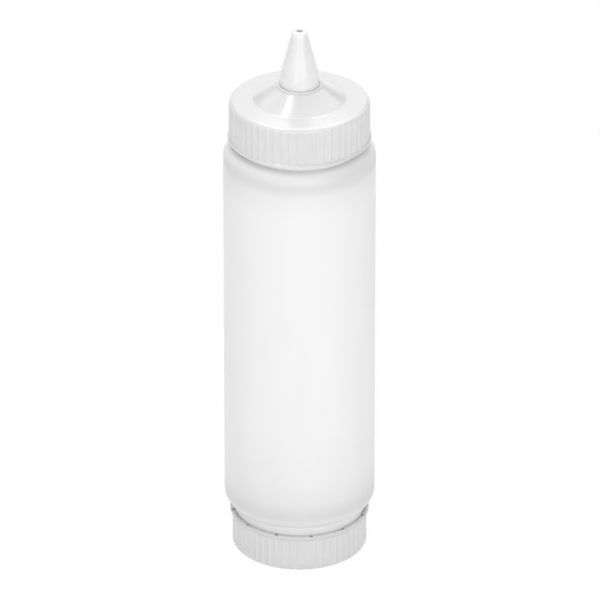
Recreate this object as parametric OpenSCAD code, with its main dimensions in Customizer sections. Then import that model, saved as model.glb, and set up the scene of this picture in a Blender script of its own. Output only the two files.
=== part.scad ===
// Two-ended squeeze bottle for sauce, with a ribbed screw cap at each end.
// It stands on its base cap. The top cap carries a clear nozzle and a slit valve.
// Millimetres, +Z up, origin at the middle of the base cap's underside.

/* [Bottle] */
// Outside diameter of the body
body_d = 70; // [66:0.5:80]
// Length from the lower shoulder face to the upper shoulder face
body_len = 185.9; // [100:0.1:240]
// Wall of the body
body_wall = 1; // [0.8:0.1:1.6]
// Outside radius of the rounded shoulders
shoulder_r = 6.4; // [3:0.1:8]

/* [Necks] */
// Outside diameter of the upper neck, without its thread
upper_neck_d = 58.4; // [52:0.1:63]
// Outside diameter of the lower neck, without its thread
lower_neck_d = 56.4; // [50:0.1:60]
// Wall of both necks
neck_wall = 1.3; // [1:0.1:1.8]
// Clearance between the step under the lower shoulder and the rim of the base cap
step_gap = 0.4; // [0.3:0.05:0.5]

/* [Threads] */
// Rise of the threads in one turn
thread_pitch = 4.5; // [4:0.1:5]
// Height of a thread ridge above its wall
thread_h = 1.1; // [0.8:0.1:1.3]
// Width of a thread ridge at its wall
thread_root_w = 2.2; // [1.6:0.1:2.4]
// Width of a thread ridge at its crest
thread_crest_w = 0.9; // [0.6:0.1:1.2]
// Turns of each thread
thread_turns = 1.5; // [1:0.25:1.75]
// Clearance between the threads of bottle and cap
thread_gap = 0.4; // [0.3:0.05:0.5]

/* [Both caps] */
// Wall of the cap skirts
cap_wall = 1.2; // [1:0.1:1.6]
// Number of grip ribs round each cap
rib_count = 54; // [24:1:60]
// Height of a rib above the skirt
rib_h = 0.4; // [0.3:0.05:0.6]
// Width of a rib where it meets the skirt
rib_w = 1.3; // [0.8:0.1:1.4]

/* [Top cap] */
// Height of the skirt from the lip edge to the deck rim
top_cap_h = 18.8; // [18:0.1:26]
// Open gap between the upper shoulder and the lip edge
top_cap_gap = 2.9; // [1:0.1:4]
// Height of the smooth lip ring
lip_h = 1.8; // [1.2:0.1:3]
// How far the lip ring stands out from the skirt
lip_out = 1.1; // [0.6:0.1:2]
// Rounding between skirt and deck
deck_edge_r = 1.9; // [1:0.05:2.2]
// Thickness of the deck
deck_t = 1.6; // [1.2:0.1:2.4]
// Rise of the deck from its rim to the foot of the dome
deck_rise = 0.9; // [0.3:0.1:1.5]
// Diameter of the foot of the dome
dome_d = 42.8; // [38:0.1:48]
// Height of the dome above its foot
dome_h = 6.9; // [6:0.1:9]
// Wall of the dome
dome_wall = 1.4; // [1.2:0.1:1.8]
// Width of the bead round the nozzle
bead_w = 1.4; // [1:0.1:2]

/* [Nozzle] */
// Diameter of the collar
collar_d = 17.8; // [15:0.1:20]
// Height of the collar above the bead
collar_h = 4.5; // [2:0.1:8]
// Height of the cone above the collar
cone_h = 22.1; // [15:0.1:30]
// Diameter of the cone at its tip, before the edge is rounded
tip_d = 6.7; // [6.5:0.1:9]
// Rounding of the tip edge
tip_r = 0.9; // [0.5:0.1:1.2]
// Diameter of the orifice
orifice_d = 3; // [1.5:0.1:3.6]
// Length of the orifice
orifice_len = 3; // [2:0.5:5]
// Wall of the nozzle
nozzle_wall = 1.2; // [1:0.1:1.5]
// How far the flange stands out from the collar
flange_w = 2.3; // [1.8:0.1:3]
// Thickness of the flange
flange_t = 1.2; // [0.8:0.1:1.4]

/* [Valve] */
// Thickness of the valve rim
valve_rim_t = 1.4; // [1:0.1:1.6]
// Width of the valve rim
valve_rim_w = 2.6; // [2:0.1:3]
// Thickness of the valve membrane
membrane_t = 0.7; // [0.4:0.1:1]
// Depth that the membrane hangs below its rim
membrane_sag = 2; // [1.5:0.1:2.2]
// Length of each of the two crossing slits
slit_len = 10; // [6:0.5:10]
// Gap left by a slit
slit_gap = 0.2; // [0.1:0.05:0.3]
// Height of the ring that holds the valve
retainer_h = 4.6; // [3.6:0.1:4.6]
// Wall of the ring that holds the valve
retainer_w = 2.4; // [1.8:0.1:2.6]
// Height of the snap bead on the ring
snap_h = 0.8; // [0.6:0.1:1]
// How far the snap bead stands out
snap_out = 0.3; // [0.2:0.05:0.4]

/* [Base cap] */
// Height of the base cap
base_cap_h = 18.1; // [16.8:0.1:24]
// Open gap between the rim of the base cap and the lower shoulder
base_cap_gap = 3.8; // [1:0.1:6]
// Thickness of the floor
floor_t = 1.8; // [1.2:0.1:2.4]
// Rounding of the bottom edge
foot_r = 0.6; // [0.4:0.1:1.2]
// How far the rim flares out from the skirt
rim_out = 1.5; // [1:0.1:2.5]
// Height of the rim above its flare
rim_h = 1.5; // [1.2:0.1:2]
// Depth of the recess inside the rim
recess_h = 1; // [0.6:0.1:1.2]
// Height of the flare below the rim
flare_h = 1; // [0.6:0.1:1.5]
// Width of the recess inside the rim
rim_recess = 1.2; // [0.8:0.1:1.4]
// Number of notches in the inner edge of the rim
notch_count = 12; // [6:1:18]
// Width of a notch
notch_w = 1.9; // [1:0.1:2.4]

/* [Seals] */
// Thickness of both sealing washers
seal_t = 1.2; // [0.8:0.1:1.6]
// Play at each side of a sealing washer
seal_play = 0.05; // [0.05:0.01:0.1]
// Width of a sealing washer inside the neck bore
seal_in = 0.4; // [0.2:0.1:1]

/* [Hidden] */
$fn = 96;

// Play between pieces that are pushed together, and the overlap of joined shapes
fit_play = 0.2;
snap_play = 0.05;
join = 0.3;
// Angle of the first notch and of the first rib
notch_phase = 10;
rib_phase = 2.6;
// Facets of one thread turn, and those over which a thread end fades
thread_facets = 36;
thread_fade = 3;
// Distance from a neck end to the middle of the nearest thread turn
thread_inset = 2.4;

// Radii of the bottle
body_r = body_d / 2;
shoulder_face_r = body_r - shoulder_r;
upper_neck_r = upper_neck_d / 2;
lower_neck_r = lower_neck_d / 2;
upper_bore_r = upper_neck_r - neck_wall;
lower_bore_r = lower_neck_r - neck_wall;

// Radii of the cap skirts
top_bore_r = upper_neck_r + thread_h + thread_gap;
top_skirt_r = top_bore_r + cap_wall;
base_bore_r = lower_neck_r + thread_h + thread_gap;
base_skirt_r = base_bore_r + cap_wall;
recess_r = base_bore_r + rim_recess;
rib_round = (rib_h * rib_h + rib_w * rib_w / 4) / (2 * rib_h);

// Levels from the floor of the base cap to the upper shoulder
lower_neck_z = floor_t + seal_t + 2 * seal_play;
lower_shoulder_z = base_cap_h + base_cap_gap;
upper_shoulder_z = lower_shoulder_z + body_len;

// Step under the lower shoulder, which stands in the recess of the base cap's rim
step_r = recess_r - step_gap;
step_z = base_cap_h - recess_h + step_gap;

// Levels of the top cap
lip_z = upper_shoulder_z + top_cap_gap;
deck_z = lip_z + top_cap_h;
seat_z = deck_z - deck_t;
upper_neck_z = seat_z - seal_t - 2 * seal_play;
dome_z = deck_z + deck_rise;
dome_top_z = dome_z + dome_h;

// Dome, bead and the socket for nozzle, valve and ring
dome_r = dome_d / 2;
collar_r = collar_d / 2;
nozzle_hole_r = collar_r + fit_play;
dome_top_r = nozzle_hole_r + bead_w;
dome_angle = atan2(dome_h, dome_r - dome_top_r);
flange_r = collar_r + flange_w;
socket_r = flange_r + fit_play;
socket_out_r = socket_r + dome_wall;
socket_top_z = dome_top_z - (socket_r - dome_top_r) * tan(dome_angle) - dome_wall;
flange_z = socket_top_z - flange_t;
valve_z = flange_z - valve_rim_t;
retainer_z = valve_z - retainer_h;
snap_z = retainer_z + retainer_h / 2;

// Cone of the nozzle
bead_z = dome_top_z + bead_w / 3;
cone_z = bead_z + collar_h;
tip_z = cone_z + cone_h;
cone_angle = atan2(collar_r - tip_d / 2, cone_h);
tip_mid_z = tip_z - tip_r;
tip_mid_r = tip_d / 2 + tip_r * tan(cone_angle) - tip_r / cos(cone_angle);
nozzle_bore_r = collar_r - nozzle_wall / cos(cone_angle);
orifice_z = tip_z - orifice_len;

// One ring of a thread ridge: inner and outer radius, each with its own width, at an angle and a level
function thread_ring(inner, outer, angle, z) = [
    for (p = [[inner, -1], [outer, -1], [outer, 1], [inner, 1]])
        [p[0][0] * cos(angle), p[0][0] * sin(angle), z + p[1] * p[0][1] / 2]
];

// Ridge that climbs round the Z axis from start_z; its root is sunk into the wall at wall_r
module thread_ridge(wall_r, start_z, outward) {
    steps = ceil(thread_turns * thread_facets);
    stretch = outward ? 1 : 1 / cos(180 / thread_facets);
    side = outward ? 1 : -1;
    root = [wall_r - side * join, thread_root_w];
    rings = [for (i = [0:steps])
        let (
            height = thread_h * min(1, (i + 1) / thread_fade, (steps - i + 1) / thread_fade),
            crest = [(wall_r + side * height) * stretch, thread_crest_w]
        )
        thread_ring(outward ? root : crest, outward ? crest : root,
                    i * 360 / thread_facets, start_z + i * thread_pitch / thread_facets)];
    sides = [for (i = [0:steps - 1], j = [0:3])
        let (a = 4 * i + j, b = 4 * i + (j + 1) % 4)
        each [[a, b, b + 4], [a, b + 4, a + 4]]];
    ends = [[3, 2, 1, 0], [for (j = [0:3]) 4 * steps + j]];
    polyhedron(points = [for (r = rings) each r], faces = concat(sides, ends), convexity = 6);
}

// Upright ribs round a skirt, from one level to another
module ribs(skirt_r, low_z, high_z) {
    for (i = [0:rib_count - 1])
        rotate(rib_phase + i * 360 / rib_count)
            translate([skirt_r + rib_h - rib_round, 0, low_z])
                cylinder(r = rib_round, h = high_z - low_z, $fn = 24);
}

// Flat washer
module washer(inner_r, outer_r, low_z, height) {
    rotate_extrude()
        translate([inner_r, low_z])
            square([outer_r - inner_r, height]);
}

// Half section of the body and its necks, moved inwards by a wall
module bottle_section(wall, neck_inset, over) {
    flat = shoulder_r - wall;
    straight = body_len - 2 * shoulder_r;
    translate([0, lower_shoulder_z + shoulder_r])
        square([body_r - wall, straight]);
    translate([0, lower_shoulder_z + wall])
        square([shoulder_face_r, body_len - 2 * wall]);
    for (z = [lower_shoulder_z + shoulder_r, upper_shoulder_z - shoulder_r])
        intersection() {
            translate([shoulder_face_r, z])
                circle(r = flat);
            translate([0, z - flat])
                square([body_r, 2 * flat]);
        }
    translate([0, lower_neck_z - over])
        square([lower_neck_r - neck_inset, shoulder_r + lower_shoulder_z - lower_neck_z + over]);
    translate([0, step_z + neck_inset])
        square([step_r - neck_inset, shoulder_r + lower_shoulder_z - step_z - neck_inset]);
    translate([0, upper_shoulder_z - shoulder_r])
        square([upper_neck_r - neck_inset, shoulder_r + upper_neck_z - upper_shoulder_z + over]);
}

module bottle() {
    color("#e9ecec")
        union() {
            difference() {
                rotate_extrude()
                    bottle_section(0, 0, 0);
                rotate_extrude()
                    bottle_section(body_wall, neck_wall, join);
            }
            thread_ridge(upper_neck_r, upper_neck_z - thread_inset - thread_turns * thread_pitch, true);
            thread_ridge(lower_neck_r, lower_neck_z + thread_inset, true);
        }
}

// Distance between the middles of a bottle ridge and the cap ridge that bears on it
function mate_step() = (thread_root_w + thread_crest_w) / 2 + thread_gap;

// Outer half section of the top cap, for a skirt of a radius and a rounding to match
module top_cap_outline(skirt_r, edge_r, edge_top_z) {
    edge_mid_r = top_skirt_r - deck_edge_r;
    translate([0, lip_z])
        square([skirt_r, edge_top_z - edge_r - lip_z]);
    translate([0, lip_z])
        square([edge_mid_r, edge_top_z - lip_z]);
    translate([edge_mid_r, edge_top_z - edge_r])
        circle(r = edge_r);
}

// Lip ring with rounded edges
module lip_section() {
    edge = lip_out / 3;
    translate([0, lip_z])
        square([top_skirt_r + lip_out - edge, lip_h]);
    translate([0, lip_z + edge])
        square([top_skirt_r + lip_out, lip_h - 2 * edge]);
    for (z = [lip_z + edge, lip_z + lip_h - edge])
        translate([top_skirt_r + lip_out - edge, z])
            circle(r = edge);
}

// Half section of deck and dome, lowered for the inside
module dome_section() {
    polygon([
        [0, deck_z - deck_t],
        [top_skirt_r - deck_edge_r, deck_z - deck_t],
        [top_skirt_r - deck_edge_r, deck_z],
        [dome_r, dome_z],
        [dome_top_r, dome_top_z],
        [0, dome_top_z]
    ]);
}

// Hollow under deck and dome, round the socket
module dome_hollow() {
    foot_z = dome_z - dome_wall / cos(dome_angle);
    seat_in_r = upper_bore_r - seal_in;
    polygon([
        [0, lip_z - join],
        [seat_in_r, lip_z - join],
        [seat_in_r, seat_z],
        [dome_r, foot_z],
        [socket_out_r, foot_z + (dome_r - socket_out_r) * tan(dome_angle)],
        [socket_out_r, retainer_z],
        [0, retainer_z]
    ]);
    translate([0, lip_z - join])
        square([top_bore_r, seat_z - lip_z + join]);
}

// Bead round the nozzle, on top of the dome
module bead_section() {
    translate([nozzle_hole_r, dome_top_z - join])
        square([bead_w, join]);
    translate([nozzle_hole_r + bead_w / 2, dome_top_z - bead_w / 6])
        circle(r = bead_w / 2);
}

module top_cap() {
    color("#f4f4f2")
        difference() {
            union() {
                difference() {
                    rotate_extrude()
                        union() {
                            top_cap_outline(top_skirt_r, deck_edge_r, deck_z);
                            lip_section();
                            dome_section();
                            bead_section();
                        }
                    rotate_extrude()
                        dome_hollow();
                }
                intersection() {
                    ribs(top_skirt_r, lip_z + lip_h - join, deck_z);
                    rotate_extrude()
                        top_cap_outline(top_skirt_r + rib_h, deck_edge_r + rib_h, deck_z - rib_h / 3);
                }
                thread_ridge(top_bore_r, upper_neck_z - thread_inset - thread_turns * thread_pitch - mate_step(),
                             false);
            }
            socket_cut();
        }
}

// Hole for the nozzle and the stepped socket below it, with the groove of the snap bead
module socket_cut() {
    cylinder(r = nozzle_hole_r, h = bead_z + join);
    translate([0, 0, retainer_z - join])
        cylinder(r = socket_r, h = socket_top_z - retainer_z + join);
    translate([0, 0, snap_z - snap_h / 2 - snap_play])
        cylinder(r = socket_r + snap_out, h = snap_h + 2 * snap_play);
}

module nozzle() {
    color("#dfeaee", 0.4)
        difference() {
            rotate_extrude()
                union() {
                    translate([0, flange_z])
                        square([flange_r, flange_t]);
                    polygon([
                        [0, flange_z],
                        [collar_r, flange_z],
                        [collar_r, cone_z],
                        [tip_mid_r + tip_r * cos(cone_angle), tip_mid_z + tip_r * sin(cone_angle)],
                        [tip_mid_r, tip_mid_z],
                        [tip_mid_r, tip_z],
                        [0, tip_z]
                    ]);
                    translate([tip_mid_r, tip_mid_z])
                        circle(r = tip_r);
                }
            rotate_extrude()
                polygon([
                    [0, flange_z - join],
                    [nozzle_bore_r, flange_z - join],
                    [nozzle_bore_r, cone_z],
                    [nozzle_bore_r - (orifice_z - cone_z) * tan(cone_angle), orifice_z],
                    [0, orifice_z]
                ]);
            translate([0, 0, orifice_z - join])
                cylinder(d = orifice_d, h = orifice_len + 2 * join);
        }
}

module valve() {
    hole_r = flange_r - valve_rim_w;
    bowl_r = (hole_r * hole_r + membrane_sag * membrane_sag) / (2 * membrane_sag);
    bowl_mid_z = valve_z + bowl_r - membrane_sag;
    color("#f2f2f2", 0.7)
        difference() {
            union() {
                washer(hole_r - membrane_t, flange_r, valve_z, valve_rim_t);
                intersection() {
                    difference() {
                        translate([0, 0, bowl_mid_z])
                            sphere(r = bowl_r);
                        translate([0, 0, bowl_mid_z])
                            sphere(r = bowl_r - membrane_t);
                    }
                    translate([0, 0, valve_z - membrane_sag - join])
                        cylinder(r = hole_r, h = membrane_sag + valve_rim_t / 2 + join);
                }
            }
            for (turn = [0, 90])
                rotate(turn)
                    translate([-slit_len / 2, -slit_gap / 2, valve_z - membrane_sag - join])
                        cube([slit_len, slit_gap, membrane_sag + valve_rim_t + 2 * join]);
        }
}

module valve_retainer() {
    ring_r = socket_r - snap_play;
    color("#f4f4f2")
        union() {
            washer(ring_r - retainer_w, ring_r, retainer_z, retainer_h);
            washer(ring_r - retainer_w, ring_r + snap_out, snap_z - snap_h / 2, snap_h);
        }
}

module base_cap() {
    rim_r = base_skirt_r + rim_out;
    rim_z = base_cap_h - rim_h;
    color("#f4f4f2")
        difference() {
            union() {
                rotate_extrude()
                    base_cap_section(rim_r, rim_z);
                ribs(base_skirt_r, foot_r / 2, rim_z - flare_h / 2);
                thread_ridge(base_bore_r, lower_neck_z + thread_inset + mate_step(), false);
            }
            for (i = [0:notch_count - 1])
                rotate(notch_phase + i * 360 / notch_count)
                    translate([recess_r, 0, base_cap_h - recess_h])
                        cylinder(d = notch_w, h = recess_h + join);
        }
}

// Half section of the base cap: floor, skirt, flare and rim
module base_cap_section(rim_r, rim_z) {
    difference() {
        union() {
            translate([0, foot_r])
                square([base_skirt_r, rim_z - foot_r]);
            square([base_skirt_r - foot_r, foot_r]);
            translate([base_skirt_r - foot_r, foot_r])
                circle(r = foot_r);
            polygon([
                [0, rim_z - flare_h],
                [base_skirt_r, rim_z - flare_h],
                [rim_r, rim_z],
                [rim_r, base_cap_h],
                [0, base_cap_h]
            ]);
        }
        translate([0, floor_t])
            square([base_bore_r, base_cap_h]);
        translate([0, base_cap_h - recess_h])
            square([recess_r, recess_h + join]);
    }
}

module base_seal() {
    color("#d9dcdc")
        washer(lower_bore_r - seal_in, base_bore_r - join, floor_t + seal_play, seal_t);
}

module top_seal() {
    color("#d9dcdc")
        washer(upper_bore_r - seal_in, top_bore_r - join, seat_z - seal_play - seal_t, seal_t);
}

base_cap();
base_seal();
bottle();
top_seal();
top_cap();
nozzle();
valve();
valve_retainer();
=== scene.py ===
import math

import bpy
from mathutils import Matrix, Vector


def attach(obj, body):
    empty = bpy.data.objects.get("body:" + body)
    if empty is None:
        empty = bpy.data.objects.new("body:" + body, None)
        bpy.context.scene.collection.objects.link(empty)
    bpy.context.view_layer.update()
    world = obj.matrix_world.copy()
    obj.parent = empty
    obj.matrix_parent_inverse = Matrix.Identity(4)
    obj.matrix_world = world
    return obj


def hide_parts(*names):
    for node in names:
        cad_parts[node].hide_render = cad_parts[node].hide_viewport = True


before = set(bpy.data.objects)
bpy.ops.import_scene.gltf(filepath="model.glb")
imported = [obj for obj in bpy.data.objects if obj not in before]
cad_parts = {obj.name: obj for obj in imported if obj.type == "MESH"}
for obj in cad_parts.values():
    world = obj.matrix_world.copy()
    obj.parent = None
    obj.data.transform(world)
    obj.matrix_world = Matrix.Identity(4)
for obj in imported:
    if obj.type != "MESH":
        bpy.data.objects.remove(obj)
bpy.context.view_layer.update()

MM = 0.001
FULL_TURN = 2 * math.pi

# Distances in metres under which points are merged, and under which a point is at a place
WELD = 0.0005 * MM
NEAR = 0.01 * MM

# From here on in millimetres, as in the part's source. Bottle
BODY_R = 35
BODY_WALL = 1
SHOULDER_R = 6.4
LOWER_SHOULDER = 21.9
UPPER_SHOULDER = 207.8
UPPER_NECK_R = 29.2
LOWER_NECK_R = 28.2
NECK_WALL = 1.3
UPPER_NECK_END = 226.6
LOWER_NECK_END = 3.1
STEP_R = 30.5
STEP_Z = 17.5

# Threads
PITCH = 4.5
THREAD_H = 1.1
THREAD_ROOT = 2.2
THREAD_CREST = 0.9
THREAD_TURNS = 1.5
THREAD_GAP = 0.4
THREAD_INSET = 2.4
THREAD_SUNK = 0.3
THREAD_EDGE = 0.25
THREAD_STEPS = 60
MATE_STEP = (THREAD_ROOT + THREAD_CREST) / 2 + THREAD_GAP
UPPER_THREAD_Z = UPPER_NECK_END - THREAD_INSET - THREAD_TURNS * PITCH
LOWER_THREAD_Z = LOWER_NECK_END + THREAD_INSET
RUN_OUT = 4
RUN_OUT_START = 0.6

# Both caps
CAP_WALL = 1.2
RIB_COUNT = 54
RIB_H = 0.45
RIB_W = 2
RIB_PHASE = 2.6
RIB_SHAPE = [0.15, 0.5, 0.85, 1, 0.85, 0.5, 0.15]
RIB_END = 0.2
FLAT_STEPS = 3

# Top cap
TOP_SKIRT_R = 31.9
TOP_BORE_R = TOP_SKIRT_R - CAP_WALL
LIP_Z = 210.7
LIP_OUT = 1.1
LIP_SIDE = 0.6
LIP_TOP_H = 1.3
DECK_Z = 229.5
DECK_T = 1.6
DECK_EDGE_R = 1.9
DOME_R = 21.4
DOME_Z = 230.4
DOME_FOOT_R = 1.5
DOME_TOP_R = 10.5
DOME_TOP_Z = 237.3
DOME_WALL = 1.4
GROOVE_W = 0.5
GROOVE_H = 0.3
BEAD_R = 9.83
BEAD_ROUND = 0.6
BEAD_Z = 237.76
NOZZLE_HOLE_R = 8.95
SOCKET_R = 11.4
SOCKET_OUT_R = 12.8
SOCKET_TOP = 235.33
SEAT_Z = DECK_Z - DECK_T
SEAT_IN_R = 27.5

# Nozzle, valve and the ring that holds them
COLLAR_R = 8.9
CONE_Z = 242.26
CONE_FOOT_R = 3
TIP_Z = 264.36
TIP_R = 3.35
TIP_ROUND = 0.9
ORIFICE_R = 1.5
ORIFICE_Z = 261.37
CONE_BORE_R = 7.663
CONE_BORE_TIP_R = 2.867
FLANGE_R = 11.2
FLANGE_Z = 234.13
VALVE_Z = 232.73
VALVE_HOLE_R = 8.6
MEMBRANE_T = 0.7
MEMBRANE_SAG = 2
MEMBRANE_SINK = 0.96
SLIT_LEN = 10
SLIT_GAP = 0.2
SLIT_DEPTH = 8
RING_Z = 228.13
RING_OUT_R = 11.35
RING_IN_R = 8.95
SNAP_Z = 230.43
SNAP_H = 0.8
SNAP_OUT = 0.3

# Base cap
BASE_SKIRT_R = 30.9
BASE_BORE_R = BASE_SKIRT_R - CAP_WALL
BASE_CAP_H = 18.1
FLOOR_T = 1.8
FOOT_R = 0.6
RIM_R = 32.4
RIM_H = 1.5
FLARE_H = 1.2
RECESS_R = 30.7
RECESS_H = 1
NOTCH_COUNT = 12
NOTCH_W = 1.7
NOTCH_R = 31.35
NOTCH_DEPTH = 1.5
NOTCH_PHASE = 10

# Washers
SEAL_T = 1.2
SEAL_IN = 0.4
SEAL_PLAY = 0.3
SEAL_EDGE = 0.2
UPPER_SEAL_Z = 226.65
LOWER_SEAL_Z = 1.85

# Stops between which a noise runs from its low to its high value
NOISE_STOPS = (0.3, 0.7)

# Level of the light from all round, and how white the floor and the far side look
WORLD_LEVEL = 0.7
FLOOR_TONE = 0.75
FLOOR_SEEN = 0.97

# Grey patches that gloss mirrors: degrees round from the viewer, degrees up, radius in degrees
GREY_PATCHES = [(147, 20, 11), (-147, 20, 11), (88, 0, 34)]
PATCH_GREY = 0.02
PATCH_EDGE = 0.3

# Lamps in metres and watts: name, place, side, power
LAMPS = [
    ("key_lamp", (0.8, -1.65, 0.62), 0.9, 6.6),
    ("fill_lamp", (-0.5, -1.76, 0.5), 1, 6.2),
    ("top_lamp", (0, 0.95, 1.78), 1, 13),
    ("small_lamp", (-0.5, 0.06, 1.9), 0.15, 3.5),
]
LAMP_AIM = (0, 0, 0.13)


def edit(piece):
    """Opens a piece alone for editing by its vertices."""
    if bpy.context.mode != "OBJECT":
        bpy.ops.object.mode_set(mode="OBJECT")
    bpy.ops.object.select_all(action="DESELECT")
    piece.select_set(True)
    bpy.context.view_layer.objects.active = piece
    bpy.ops.object.mode_set(mode="EDIT")
    bpy.ops.mesh.select_mode(type="VERT")


def close(piece):
    """Leaves edit mode."""
    bpy.ops.object.mode_set(mode="OBJECT")
    return piece


def pick(piece, test):
    """Selects the vertices whose place passes a test."""
    bpy.ops.mesh.select_all(action="DESELECT")
    bpy.ops.object.mode_set(mode="OBJECT")
    for point in piece.data.vertices:
        point.select = test(point.co)
    bpy.ops.object.mode_set(mode="EDIT")


def draw_section(name, points, closed=True):
    """Half section in the XZ plane, extruded from point to point.

    Points are (radius, level) in mm, with the rounding of the corner as a third value where it has one.
    """
    if bpy.context.mode != "OBJECT":
        bpy.ops.object.mode_set(mode="OBJECT")
    bpy.ops.object.select_all(action="DESELECT")
    bpy.ops.mesh.primitive_plane_add(size=MM, location=(0, 0, 0))
    piece = bpy.context.object
    piece.name = name
    piece.data.name = name
    edit(piece)
    bpy.ops.mesh.select_all(action="SELECT")
    bpy.ops.mesh.merge(type="CENTER")
    here = points[0][:2]
    bpy.ops.transform.translate(value=(here[0] * MM, 0, here[1] * MM))
    for point in points[1:] + points[:1] * closed:
        step = ((point[0] - here[0]) * MM, 0, (point[1] - here[1]) * MM)
        bpy.ops.mesh.extrude_region_move(TRANSFORM_OT_translate={"value": step})
        here = point[:2]
    bpy.ops.mesh.select_all(action="SELECT")
    bpy.ops.mesh.remove_doubles(threshold=WELD)
    round_corners(piece, points, closed)
    return piece


def round_corners(piece, points, closed):
    """Rounds each corner of a half section that has a third value."""
    for place, point in enumerate(points):
        if len(point) < 3:
            continue
        corner = Vector((point[0] * MM, 0, point[1] * MM))
        before = points[place - 1]
        after = points[(place + 1) % len(points)]
        way_in = Vector((point[0] - before[0], point[1] - before[1]))
        way_out = Vector((after[0] - point[0], after[1] - point[1]))
        turn = abs(way_in.angle(way_out))
        steps = max(3, math.ceil(math.degrees(turn) / 9))
        pick(piece, lambda co: (co - corner).length < NEAR)
        reach = point[2] * MM * math.tan(turn / 2)
        bpy.ops.mesh.bevel(offset=reach, segments=steps, affect="VERTICES")


def arc(middle_r, middle_z, radius, start, end, steps=9):
    """Points on an arc of a half section, between two angles in degrees from the outward direction."""
    points = []
    for step in range(steps + 1):
        turn = math.radians(start + (end - start) * step / steps)
        points.append((middle_r + radius * math.cos(turn), middle_z + radius * math.sin(turn)))
    return points


def spin_whole(piece, steps=192):
    """Spins an open half section all the way round the Z axis."""
    bpy.ops.mesh.select_all(action="SELECT")
    bpy.ops.mesh.spin(steps=steps, angle=FULL_TURN, center=(0, 0, 0), axis=(0, 0, 1))
    weld(piece)
    return close(piece)


def weld(piece):
    """Merges what lies in one place and turns every face outwards."""
    bpy.ops.mesh.select_all(action="SELECT")
    bpy.ops.mesh.remove_doubles(threshold=WELD)
    bpy.ops.mesh.select_all(action="SELECT")
    bpy.ops.mesh.normals_make_consistent(inside=False)


def spin_ribbed(piece, rib_weight):
    """Spins one rib and the flat beside it, raises the rib, and repeats both round the cap."""
    sector = FULL_TURN / RIB_COUNT
    rib_turn = RIB_W / TOP_SKIRT_R
    rib_steps = len(RIB_SHAPE) + 1
    bpy.ops.mesh.select_all(action="SELECT")
    bpy.ops.mesh.spin(steps=rib_steps, angle=rib_turn, center=(0, 0, 0), axis=(0, 0, 1))
    bpy.ops.mesh.spin(steps=FLAT_STEPS, angle=sector - rib_turn, center=(0, 0, 0), axis=(0, 0, 1))
    bpy.ops.object.mode_set(mode="OBJECT")
    ridge = piece.vertex_groups.new(name="rib")
    for point in piece.data.vertices:
        column = abs(math.atan2(point.co.y, point.co.x)) / rib_turn * rib_steps
        inside = 0.5 < column < rib_steps - 0.5
        height = RIB_SHAPE[round(column) - 1] if inside else 0
        reach = height * rib_weight(math.hypot(point.co.x, point.co.y) / MM, point.co.z / MM)
        if reach > 0:
            ridge.add([point.index], reach, "REPLACE")
    raise_ribs = piece.modifiers.new("raise ribs", "DISPLACE")
    raise_ribs.vertex_group = "rib"
    raise_ribs.direction = "X"
    raise_ribs.mid_level = 0
    raise_ribs.strength = RIB_H * MM
    bpy.ops.object.modifier_apply(modifier=raise_ribs.name)
    piece.vertex_groups.clear()
    edit(piece)
    bpy.ops.mesh.select_all(action="SELECT")
    bpy.ops.mesh.spin(
        steps=RIB_COUNT - 1, angle=FULL_TURN - sector, center=(0, 0, 0), axis=(0, 0, 1), dupli=True)
    weld(piece)
    close(piece)
    piece.rotation_euler.z = math.radians(RIB_PHASE) + rib_turn / 2
    bpy.ops.object.transform_apply(location=False, rotation=True, scale=False)
    return piece


def fade(value, none_at, full_at):
    """0 at one end of a run, 1 at the other, and smooth between."""
    share = min(1, max(0, (value - none_at) / (full_at - none_at)))
    return share * share * (3 - 2 * share)


def wind_thread(name, wall_r, start_z, outward):
    """Ridge of a thread, wound up round the Z axis from a level, with ends that run into the wall."""
    side = 1 if outward else -1
    root_r = wall_r - side * THREAD_SUNK
    crest_r = wall_r + side * THREAD_H
    half_root = THREAD_ROOT / 2
    half_crest = THREAD_CREST / 2
    ridge = draw_section(name, [
        (root_r, start_z - half_root),
        (crest_r, start_z - half_crest, THREAD_EDGE),
        (crest_r, start_z + half_crest, THREAD_EDGE),
        (root_r, start_z + half_root),
    ])
    close(ridge)
    around = len(ridge.data.vertices)
    wind = ridge.modifiers.new("wind", "SCREW")
    wind.angle = THREAD_TURNS * FULL_TURN
    wind.screw_offset = THREAD_TURNS * PITCH * MM
    wind.steps = THREAD_STEPS
    wind.render_steps = THREAD_STEPS
    wind.use_smooth_shade = False
    bpy.ops.object.modifier_apply(modifier=wind.name)
    last = len(ridge.data.vertices) // around - 1
    edit(ridge)
    for ring in [*range(RUN_OUT), *range(last + 1 - RUN_OUT, last + 1)]:
        share = (min(ring, last - ring) + RUN_OUT_START) / (RUN_OUT + RUN_OUT_START)
        middle = pick_ring(ridge, root_r, start_z, ring / last)
        bpy.ops.transform.resize(value=(share, share, share), center_override=middle)
    for end in (0, 1):
        pick_ring(ridge, root_r, start_z, end)
        bpy.ops.mesh.edge_face_add()
    weld(ridge)
    return close(ridge)


def pick_ring(ridge, root_r, start_z, along):
    """Selects one cross section of a thread, at a share of its length, and gives the middle of its root."""
    turn = along * THREAD_TURNS * FULL_TURN
    level = start_z * MM + turn / FULL_TURN * PITCH * MM
    middle = Vector((root_r * MM * math.cos(turn), root_r * MM * math.sin(turn), level))
    across = Vector((-math.sin(turn), math.cos(turn), 0))
    reach = THREAD_ROOT * MM
    pick(ridge, lambda co: abs((co - middle).dot(across)) < NEAR and (co - middle).length < reach)
    return middle


def join(piece, *others):
    """Joins other pieces into one."""
    bpy.ops.object.select_all(action="DESELECT")
    for other in others:
        other.select_set(True)
    piece.select_set(True)
    bpy.context.view_layer.objects.active = piece
    bpy.ops.object.join()
    return piece


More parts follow.
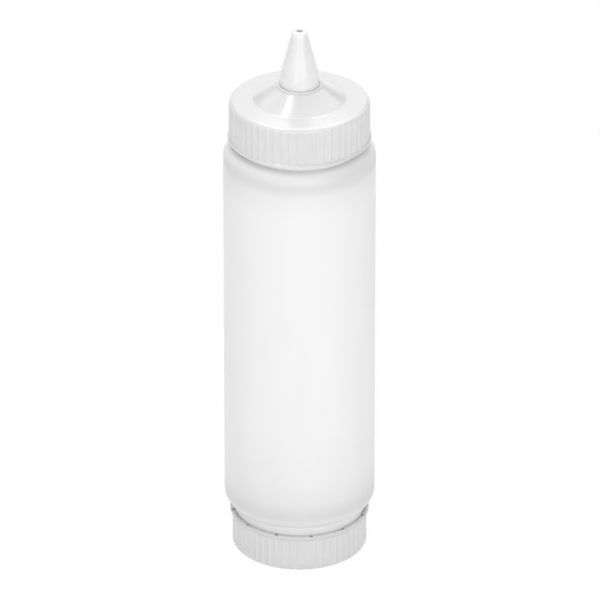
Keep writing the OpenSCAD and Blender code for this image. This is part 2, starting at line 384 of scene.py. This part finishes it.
def smooth(piece, degrees=40):
    """Shades a piece smooth, but for edges sharper than an angle."""
    bpy.ops.object.select_all(action="DESELECT")
    piece.select_set(True)
    bpy.context.view_layer.objects.active = piece
    bpy.ops.object.shade_smooth_by_angle(angle=math.radians(degrees))
    return piece


def cut(piece, cutter):
    """Cuts one closed piece out of another."""
    saw = piece.modifiers.new("cut", "BOOLEAN")
    saw.operation = "DIFFERENCE"
    saw.solver = "EXACT"
    saw.object = cutter
    bpy.ops.object.select_all(action="DESELECT")
    piece.select_set(True)
    bpy.context.view_layer.objects.active = piece
    bpy.ops.object.modifier_apply(modifier=saw.name)
    bpy.data.objects.remove(cutter)
    return piece


def make_bottle():
    """Blow-moulded body with a threaded neck at each end, and a step between shoulder and lower neck."""
    shoulder_mid_r = BODY_R - SHOULDER_R
    shoulder_mid_z = LOWER_SHOULDER + SHOULDER_R
    step_in_r = STEP_R - NECK_WALL
    outer_start = -math.degrees(math.acos((STEP_R - shoulder_mid_r) / SHOULDER_R))
    inner_start = -math.degrees(math.acos((step_in_r - shoulder_mid_r) / (SHOULDER_R - BODY_WALL)))
    outer_arc = arc(shoulder_mid_r, shoulder_mid_z, SHOULDER_R, outer_start, 0)
    inner_arc = arc(shoulder_mid_r, shoulder_mid_z, SHOULDER_R - BODY_WALL, 0, inner_start)
    bottle = draw_section("squeeze_bottle", [
        (LOWER_NECK_R, LOWER_NECK_END, 0.35),
        (LOWER_NECK_R, STEP_Z, 0.4),
        (STEP_R, STEP_Z, 0.4),
        *outer_arc,
        (BODY_R, UPPER_SHOULDER, SHOULDER_R),
        (UPPER_NECK_R, UPPER_SHOULDER, 0.5),
        (UPPER_NECK_R, UPPER_NECK_END, 0.35),
        (UPPER_NECK_R - NECK_WALL, UPPER_NECK_END, 0.35),
        (UPPER_NECK_R - NECK_WALL, UPPER_SHOULDER - BODY_WALL, 0.6),
        (BODY_R - BODY_WALL, UPPER_SHOULDER - BODY_WALL, SHOULDER_R - BODY_WALL),
        *inner_arc,
        (step_in_r, STEP_Z + NECK_WALL, 0.4),
        (LOWER_NECK_R - NECK_WALL, STEP_Z + NECK_WALL, 0.4),
        (LOWER_NECK_R - NECK_WALL, LOWER_NECK_END, 0.35),
    ])
    spin_whole(bottle)
    upper = wind_thread("upper_thread", UPPER_NECK_R, UPPER_THREAD_Z, True)
    lower = wind_thread("lower_thread", LOWER_NECK_R, LOWER_THREAD_Z, True)
    return smooth(join(bottle, upper, lower))


def make_top_cap():
    """Ribbed screw cap with lip ring, deck, dome, bead and the socket for the nozzle."""
    slope = math.atan2(DOME_TOP_Z - DOME_Z, DOME_R - DOME_TOP_R)
    foot_z = DOME_Z - DOME_WALL / math.cos(slope)
    under_z = foot_z + (DOME_R - SOCKET_OUT_R) * math.tan(slope)
    crest_z = DOME_TOP_Z - GROOVE_W * math.tan(slope)
    snap_low = SNAP_Z - SNAP_H / 2
    snap_high = SNAP_Z + SNAP_H / 2
    cap = draw_section("top_cap_moulding", [
        (TOP_BORE_R, LIP_Z, 0.3),
        (TOP_SKIRT_R + LIP_OUT, LIP_Z, 0.3),
        (TOP_SKIRT_R + LIP_OUT, LIP_Z + LIP_SIDE, 0.5),
        (TOP_SKIRT_R, LIP_Z + LIP_TOP_H, 0.3),
        (TOP_SKIRT_R, DECK_Z, DECK_EDGE_R),
        (DOME_R, DOME_Z, DOME_FOOT_R),
        (DOME_TOP_R + GROOVE_W, crest_z, 0.15),
        (DOME_TOP_R, crest_z - GROOVE_H, 0.1),
        *arc(BEAD_R, BEAD_Z - BEAD_ROUND, BEAD_ROUND, 0, 180),
        (NOZZLE_HOLE_R, BEAD_Z - BEAD_ROUND),
        (NOZZLE_HOLE_R, SOCKET_TOP),
        (SOCKET_R, SOCKET_TOP),
        (SOCKET_R, snap_high),
        (SOCKET_R + SNAP_OUT, snap_high),
        (SOCKET_R + SNAP_OUT, snap_low),
        (SOCKET_R, snap_low),
        (SOCKET_R, RING_Z, 0.2),
        (SOCKET_OUT_R, RING_Z, 0.3),
        (SOCKET_OUT_R, under_z, 0.5),
        (DOME_R, foot_z, 2),
        (SEAT_IN_R, SEAT_Z),
        (TOP_BORE_R, SEAT_Z, 0.3),
    ])

    def weight(radius, level):
        on_skirt = radius > TOP_SKIRT_R - DECK_EDGE_R
        lip_end = LIP_Z + LIP_TOP_H
        above_lip = fade(level, lip_end - RIB_END, lip_end + RIB_END)
        return fade(level, DECK_Z - 0.3, DECK_Z - DECK_EDGE_R) * above_lip if on_skirt else 0

    spin_ribbed(cap, weight)
    thread = wind_thread("top_cap_thread", TOP_BORE_R, UPPER_THREAD_Z - MATE_STEP, False)
    return smooth(join(cap, thread), 30)


def make_base_cap():
    """Ribbed screw cap with a flared and notched rim, closed end down."""
    rim_z = BASE_CAP_H - RIM_H
    cap = draw_section("base_cap_moulding", [
        (0, 0),
        (BASE_SKIRT_R, 0, FOOT_R),
        (BASE_SKIRT_R, rim_z - FLARE_H, 1),
        (RIM_R, rim_z, 0.3),
        (RIM_R, BASE_CAP_H, 0.35),
        (RECESS_R, BASE_CAP_H, 0.25),
        (RECESS_R, BASE_CAP_H - RECESS_H),
        (BASE_BORE_R, BASE_CAP_H - RECESS_H, 0.3),
        (BASE_BORE_R, FLOOR_T, 0.8),
        (0, FLOOR_T),
    ], closed=False)

    def weight(radius, level):
        outside = radius > BASE_BORE_R + 0.8
        below_rim = fade(level, rim_z - 0.3, rim_z - FLARE_H - 1)
        return fade(level, 0, FOOT_R) * below_rim if outside else 0

    spin_ribbed(cap, weight)
    cutters = []
    for place in range(NOTCH_COUNT):
        turn = math.radians(NOTCH_PHASE + place * 360 / NOTCH_COUNT)
        bpy.ops.mesh.primitive_cylinder_add(
            vertices=24, radius=NOTCH_W / 2 * MM, depth=2 * NOTCH_DEPTH * MM,
            location=(NOTCH_R * MM * math.cos(turn), NOTCH_R * MM * math.sin(turn), BASE_CAP_H * MM))
        cutters.append(bpy.context.object)
    cut(cap, join(*cutters))
    thread = wind_thread("base_cap_thread", BASE_BORE_R, LOWER_THREAD_Z + MATE_STEP, False)
    return smooth(join(cap, thread), 30)


def make_nozzle():
    """Cone nozzle with its base flange, its bore and the orifice."""
    nozzle = draw_section("clear_nozzle", [
        (FLANGE_R, FLANGE_Z, 0.2),
        (FLANGE_R, SOCKET_TOP, 0.2),
        (COLLAR_R, SOCKET_TOP, 0.2),
        (COLLAR_R, CONE_Z, CONE_FOOT_R),
        (TIP_R, TIP_Z, TIP_ROUND),
        (ORIFICE_R, TIP_Z, 0.15),
        (ORIFICE_R, ORIFICE_Z, 0.15),
        (CONE_BORE_TIP_R, ORIFICE_Z, 0.5),
        (CONE_BORE_R, CONE_Z, CONE_FOOT_R),
        (CONE_BORE_R, FLANGE_Z, 0.2),
    ])
    return smooth(spin_whole(nozzle), 50)


def bowl(radius, drop, steps=10):
    """Points of a hanging arc from the axis out to a radius, where it has risen by a drop."""
    bend = (radius * radius + drop * drop) / (2 * drop)
    reach = math.asin(radius / bend)
    turns = [reach * step / steps for step in range(steps + 1)]
    return [(bend * math.sin(turn), bend * (1 - math.cos(turn))) for turn in turns]


def make_valve():
    """Silicone disc that hangs as a bowl and is slit twice across."""
    low = VALVE_Z - MEMBRANE_SAG
    outer = [(radius, low + rise) for radius, rise in bowl(VALVE_HOLE_R, MEMBRANE_SAG)]
    inner_r = VALVE_HOLE_R - MEMBRANE_T
    inner_rise = FLANGE_Z - MEMBRANE_SINK - low - MEMBRANE_T
    inner = [(radius, low + MEMBRANE_T + rise) for radius, rise in bowl(inner_r, inner_rise)]
    valve = draw_section("slit_valve", outer + [
        (FLANGE_R, VALVE_Z, 0.2),
        (FLANGE_R, FLANGE_Z, 0.2),
        (inner_r, FLANGE_Z, 0.2),
    ] + inner[::-1], closed=False)
    spin_whole(valve, 96)
    blades = []
    for length, width in ((SLIT_LEN, SLIT_GAP), (SLIT_GAP, SLIT_LEN)):
        bpy.ops.mesh.primitive_cube_add(
            size=MM, location=(0, 0, low * MM), scale=(length, width, SLIT_DEPTH))
        blades.append(bpy.context.object)
        bpy.ops.object.transform_apply(location=True, rotation=True, scale=True)
    cut(valve, blades[0])
    cut(valve, blades[1])
    return smooth(valve)


def make_ring():
    """Ring with a snap bead, which holds the valve and the nozzle flange."""
    ring = draw_section("retaining_ring", [
        (RING_OUT_R, RING_Z, 0.4),
        (RING_OUT_R, SNAP_Z - SNAP_H / 2),
        (RING_OUT_R + SNAP_OUT, SNAP_Z, 0.15),
        (RING_OUT_R, SNAP_Z + SNAP_H / 2),
        (RING_OUT_R, VALVE_Z, 0.2),
        (RING_IN_R, VALVE_Z, 0.2),
        (RING_IN_R, RING_Z, 0.4),
    ])
    return smooth(spin_whole(ring, 128))


def make_washer(name, neck_r, bore_r, low_z):
    """Flat foam washer with soft edges, between a neck and the bore of its cap."""
    inner_r = neck_r - NECK_WALL - SEAL_IN
    outer_r = bore_r - SEAL_PLAY
    washer = draw_section(name, [
        (inner_r, low_z, SEAL_EDGE),
        (outer_r, low_z, SEAL_EDGE),
        (outer_r, low_z + SEAL_T, SEAL_EDGE),
        (inner_r, low_z + SEAL_T, SEAL_EDGE),
    ])
    return smooth(spin_whole(washer, 160))


class Finish:
    """A plastic or foam: one Principled shader fed by noises on Object coordinates."""

    def __init__(self, name, **sockets):
        self.material = bpy.data.materials.new(name)
        self.material.use_nodes = True
        self.nodes = self.material.node_tree.nodes
        self.shader = self.nodes["Principled BSDF"]
        self.place = self.nodes.new("ShaderNodeTexCoord")
        for socket, value in sockets.items():
            self.shader.inputs[socket.replace("_", " ")].default_value = value

    def link(self, output, target):
        """Joins two sockets."""
        self.material.node_tree.links.new(output, target)

    def noise(self, scale, detail=3, stretch=(1, 1, 1)):
        """Noise with so many blotches in a metre, stretched along the axes."""
        mapping = self.nodes.new("ShaderNodeMapping")
        mapping.inputs["Scale"].default_value = stretch
        texture = self.nodes.new("ShaderNodeTexNoise")
        texture.inputs["Scale"].default_value = scale
        texture.inputs["Detail"].default_value = detail
        self.link(self.place.outputs["Object"], mapping.inputs["Vector"])
        self.link(mapping.outputs["Vector"], texture.inputs["Vector"])
        return texture.outputs["Fac"]

    def by_height(self, stops):
        """Grey value that follows the level in mm, from a list of (level, value)."""
        split = self.nodes.new("ShaderNodeSeparateXYZ")
        share = self.nodes.new("ShaderNodeMath")
        share.operation = "DIVIDE"
        share.inputs[1].default_value = TIP_Z * MM
        ramp = self.nodes.new("ShaderNodeValToRGB")
        elements = ramp.color_ramp.elements
        for element, (level, value) in zip(elements, (stops[0], stops[-1])):
            element.position = level / TIP_Z
            element.color = (value, value, value, 1)
        for level, value in stops[1:-1]:
            elements.new(level / TIP_Z).color = (value, value, value, 1)
        self.link(self.place.outputs["Object"], split.inputs["Vector"])
        self.link(split.outputs["Z"], share.inputs[0])
        self.link(share.outputs["Value"], ramp.inputs["Fac"])
        return ramp.outputs["Color"]

    def ramp(self, source, low, high):
        """Colours or grey values that follow a noise."""
        ramp = self.nodes.new("ShaderNodeValToRGB")
        for element, place, value in zip(ramp.color_ramp.elements, NOISE_STOPS, (low, high)):
            element.position = place
            element.color = value if isinstance(value, tuple) else (value, value, value, 1)
        self.link(source, ramp.inputs["Fac"])
        return ramp.outputs["Color"]

    def colour(self, source, low, high, shade=None):
        """Base colour between two tones of a noise, multiplied by a shade where one is given."""
        tone = self.ramp(source, (*low, 1), (*high, 1))
        if shade:
            times = self.nodes.new("ShaderNodeVectorMath")
            times.operation = "MULTIPLY"
            self.link(tone, times.inputs[0])
            self.link(shade, times.inputs[1])
            tone = times.outputs["Vector"]
        self.link(tone, self.shader.inputs["Base Color"])

    def roughness(self, source, low, high):
        """Roughness between two values of a noise."""
        self.link(self.ramp(source, low, high), self.shader.inputs["Roughness"])

    def bumps(self, *layers):
        """Relief in layers of (noise, height in mm)."""
        normal = None
        for source, height in layers:
            bump = self.nodes.new("ShaderNodeBump")
            bump.inputs["Strength"].default_value = 1
            bump.inputs["Distance"].default_value = height * MM
            self.link(source, bump.inputs["Height"])
            if normal:
                self.link(normal, bump.inputs["Normal"])
            normal = bump.outputs["Normal"]
        self.link(normal, self.shader.inputs["Normal"])


def milky_polyethylene():
    """Blown body: milky, satin, with faint upright flow marks, a slightly uneven wall, and painted shade in
    darker bands at the lower step, both shoulders and the bottom of the body.
    """
    finish = Finish(
        "milky_polyethylene", Subsurface_Weight=0.35, Subsurface_Scale=3 * MM, Subsurface_Radius=(1, 1, 1),
        IOR=1.5, Specular_IOR_Level=0.65)
    flow = finish.noise(60, 2, (1, 1, 0.12))
    # Painted shade: base colour darkened at the lower step, over the lower shoulder and the bottom of the
    # body, and over the upper shoulder.
    painted_body_shade = finish.by_height([
        (20.5, 0.84), (22.3, 0.92), (25.5, 0.88), (28.5, 0.77), (31.5, 0.79), (36, 0.88), (46, 0.95),
        (75, 1), (185, 1), (196, 0.93), (201, 0.78), (205, 0.84), (207, 0.97)])
    finish.colour(flow, (0.91, 0.913, 0.91), (0.935, 0.937, 0.934), painted_body_shade)
    finish.roughness(finish.noise(220), 0.3, 0.42)
    finish.bumps((finish.noise(45, 1, (1, 1, 0.3)), 0.25), (finish.noise(1400, 2), 0.012))
    return finish.material


def cap_polypropylene():
    """Moulded caps: satin, a little translucent, with faint flow clouds, a fine mould grain, and painted
    shade on the base cap's rim.
    """
    finish = Finish(
        "cap_polypropylene", Subsurface_Weight=0.3, Subsurface_Scale=1.2 * MM, Subsurface_Radius=(1, 1, 1),
        IOR=1.5, Specular_IOR_Level=0.9)
    # Painted shade: the base cap's rim is darkened where the bottle's shoulder overhangs it.
    painted_rim_shade = finish.by_height([(15.6, 1), (16.9, 0.9), (17.9, 0.9), (18.1, 0.96), (40, 1)])
    finish.colour(finish.noise(90), (0.7, 0.7, 0.697), (0.73, 0.73, 0.73), painted_rim_shade)
    finish.roughness(finish.noise(300), 0.16, 0.25)
    finish.bumps((finish.noise(120, 1), 0.06), (finish.noise(2500, 2), 0.004))
    return finish.material


def nozzle_polypropylene():
    """Nozzle: glossy and uncoloured, so milky where it is thick, with faint haze and sink marks."""
    finish = Finish(
        "nozzle_polypropylene", Subsurface_Weight=0.7, Subsurface_Scale=2.5 * MM,
        Subsurface_Radius=(1, 1, 1), IOR=1.5)
    # Base colour darker towards the tip.
    darker_to_tip = finish.by_height([(236, 1), (252, 0.99), (258, 0.93), (262, 0.9)])
    finish.colour(finish.noise(150), (0.87, 0.872, 0.872), (0.9, 0.902, 0.902), darker_to_tip)
    finish.roughness(finish.noise(260), 0.14, 0.22)
    finish.bumps((finish.noise(140, 1), 0.05))
    return finish.material


def valve_silicone():
    """Clear silicone with a soft sheen."""
    finish = Finish(
        "valve_silicone", Transmission_Weight=0.3, Subsurface_Weight=0.2, Subsurface_Scale=MM, IOR=1.41)
    finish.colour(finish.noise(200), (0.84, 0.84, 0.82), (0.9, 0.9, 0.88))
    finish.roughness(finish.noise(400), 0.4, 0.55)
    finish.bumps((finish.noise(1800, 2), 0.01))
    return finish.material


def washer_foam():
    """White closed-cell foam with fine cells."""
    finish = Finish("washer_foam", IOR=1.45)
    finish.colour(finish.noise(900), (0.78, 0.785, 0.785), (0.86, 0.862, 0.862))
    finish.roughness(finish.noise(700), 0.7, 0.85)
    finish.bumps((finish.noise(2600, 3), 0.05))
    return finish.material


def fit(piece, body, node, finish):
    """Gives a piece its finish and body, and lets it stand for its CAD node."""
    piece.data.materials.clear()
    piece.data.materials.append(finish)
    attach(piece, body)
    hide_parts(node)


def add_floor():
    """Plain white floor that keeps the shadow."""
    bpy.ops.object.select_all(action="DESELECT")
    bpy.ops.mesh.primitive_plane_add(size=8, location=(0, 0, 0))
    floor = bpy.context.object
    floor.name = "floor"
    material = bpy.data.materials.new("white_floor")
    material.use_nodes = True
    nodes = material.node_tree.nodes
    link = material.node_tree.links.new
    shader = nodes["Principled BSDF"]
    shader.inputs["Base Color"].default_value = (FLOOR_TONE, FLOOR_TONE, FLOOR_TONE, 1)
    shader.inputs["Roughness"].default_value = 0.9
    shader.inputs["Specular IOR Level"].default_value = 0
    glow = nodes.new("ShaderNodeEmission")
    glow.inputs["Color"].default_value = (1, 1, 1, 1)
    glow.inputs["Strength"].default_value = 1
    seen = seen_share(nodes, link, FLOOR_SEEN)
    mix = nodes.new("ShaderNodeMixShader")
    link(seen, mix.inputs["Fac"])
    link(shader.outputs["BSDF"], mix.inputs[1])
    link(glow.outputs["Emission"], mix.inputs[2])
    link(mix.outputs["Shader"], nodes["Material Output"].inputs["Surface"])
    floor.data.materials.append(material)


def seen_share(nodes, link, share):
    """Gives a share to the rays that see a thing: from the camera, mirrored or through something clear."""
    path = nodes.new("ShaderNodeLightPath")
    total = path.outputs["Is Camera Ray"]
    for name in ("Is Glossy Ray", "Is Transmission Ray"):
        plus = nodes.new("ShaderNodeMath")
        plus.operation = "MAXIMUM"
        link(total, plus.inputs[0])
        link(path.outputs[name], plus.inputs[1])
        total = plus.outputs[0]
    times = nodes.new("ShaderNodeMath")
    times.operation = "MULTIPLY"
    times.inputs[1].default_value = share
    link(total, times.inputs[0])
    return times.outputs[0]


def light_world():
    """White surroundings to look at, a plain level of light, and grey patches that gloss mirrors."""
    world = bpy.data.worlds.new("studio")
    bpy.context.scene.world = world
    world.use_nodes = True
    nodes = world.node_tree.nodes
    link = world.node_tree.links.new
    light = nodes["Background"]
    light.inputs["Color"].default_value = (1, 1, 1, 1)
    light.inputs["Strength"].default_value = WORLD_LEVEL
    white = nodes.new("ShaderNodeBackground")
    white.inputs["Color"].default_value = (1, 1, 1, 1)
    white.inputs["Strength"].default_value = 1
    seen = nodes.new("ShaderNodeMixShader")
    link(seen_share(nodes, link, 1), seen.inputs["Fac"])
    link(light.outputs["Background"], seen.inputs[1])
    link(white.outputs["Background"], seen.inputs[2])
    sides = nodes.new("ShaderNodeBackground")
    link(patch_tone(nodes, link), sides.inputs["Color"])
    mirrored = nodes.new("ShaderNodeMixShader")
    link(nodes.new("ShaderNodeLightPath").outputs["Is Glossy Ray"], mirrored.inputs["Fac"])
    link(seen.outputs["Shader"], mirrored.inputs[1])
    link(sides.outputs["Background"], mirrored.inputs[2])
    link(mirrored.outputs["Shader"], nodes["World Output"].inputs["Surface"])


def patch_tone(nodes, link):
    """White all round but for the soft grey patches."""
    place = nodes.new("ShaderNodeTexCoord")
    darkest = None
    for azimuth, rise, radius in GREY_PATCHES:
        turn = math.radians(azimuth)
        up = math.radians(rise)
        edge = math.radians(radius)
        towards = nodes.new("ShaderNodeVectorMath")
        towards.operation = "DOT_PRODUCT"
        towards.inputs[1].default_value = (
            math.sin(turn) * math.cos(up), -math.cos(turn) * math.cos(up), math.sin(up))
        link(place.outputs["Generated"], towards.inputs[0])
        patch = nodes.new("ShaderNodeMapRange")
        patch.interpolation_type = "SMOOTHSTEP"
        patch.inputs["From Min"].default_value = math.cos(edge * (1 + PATCH_EDGE))
        patch.inputs["From Max"].default_value = math.cos(edge * (1 - PATCH_EDGE))
        link(towards.outputs["Value"], patch.inputs["Value"])
        if darkest is None:
            darkest = patch.outputs["Result"]
            continue
        either = nodes.new("ShaderNodeMath")
        either.operation = "MAXIMUM"
        link(darkest, either.inputs[0])
        link(patch.outputs["Result"], either.inputs[1])
        darkest = either.outputs[0]
    ramp = nodes.new("ShaderNodeValToRGB")
    ramp.color_ramp.elements[0].color = (1, 1, 1, 1)
    ramp.color_ramp.elements[1].color = (PATCH_GREY, PATCH_GREY, PATCH_GREY, 1)
    link(darkest, ramp.inputs["Fac"])
    return ramp.outputs["Color"]


def add_lamp(name, place, size, watts):
    """Square soft lamp that faces the middle of the bottle."""
    bpy.ops.object.light_add(type="AREA", location=place)
    lamp = bpy.context.object
    lamp.name = name
    lamp.data.size = size
    lamp.data.energy = watts
    aim = Vector(LAMP_AIM) - Vector(place)
    lamp.rotation_euler = aim.to_track_quat("-Z", "Y").to_euler()


def add_camera():
    """Long lens from the front and above, as in the photograph."""
    distance = 4
    rise = math.radians(28)
    middle_z = 0.115
    aim = Vector((0.00023, 0.0045, 0.1235))
    place = (0, -distance * math.cos(rise), middle_z + distance * math.sin(rise))
    bpy.ops.object.camera_add(location=place)
    camera = bpy.context.object
    camera.data.lens = 518.7
    camera.data.clip_end = 50
    camera.rotation_euler = (aim - camera.location).to_track_quat("-Z", "Y").to_euler()
    bpy.context.scene.camera = camera
    bpy.context.scene.view_settings.view_transform = "Standard"


cap_finish = cap_polypropylene()
foam_finish = washer_foam()
fit(make_base_cap(), "base", "base_cap", cap_finish)
lower_washer = make_washer("lower_washer", LOWER_NECK_R, BASE_BORE_R, LOWER_SEAL_Z)
fit(lower_washer, "base_washer", "base_seal", foam_finish)
fit(make_bottle(), "body", "bottle", milky_polyethylene())
upper_washer = make_washer("upper_washer", UPPER_NECK_R, TOP_BORE_R, UPPER_SEAL_Z)
fit(upper_washer, "top_washer", "top_seal", foam_finish)
fit(make_top_cap(), "dispenser", "top_cap", cap_finish)
fit(make_nozzle(), "dispenser", "nozzle", nozzle_polypropylene())
fit(make_valve(), "dispenser", "valve", valve_silicone())
fit(make_ring(), "dispenser", "valve_retainer", cap_finish)

add_floor()
light_world()
for lamp_values in LAMPS:
    add_lamp(*lamp_values)
add_camera()
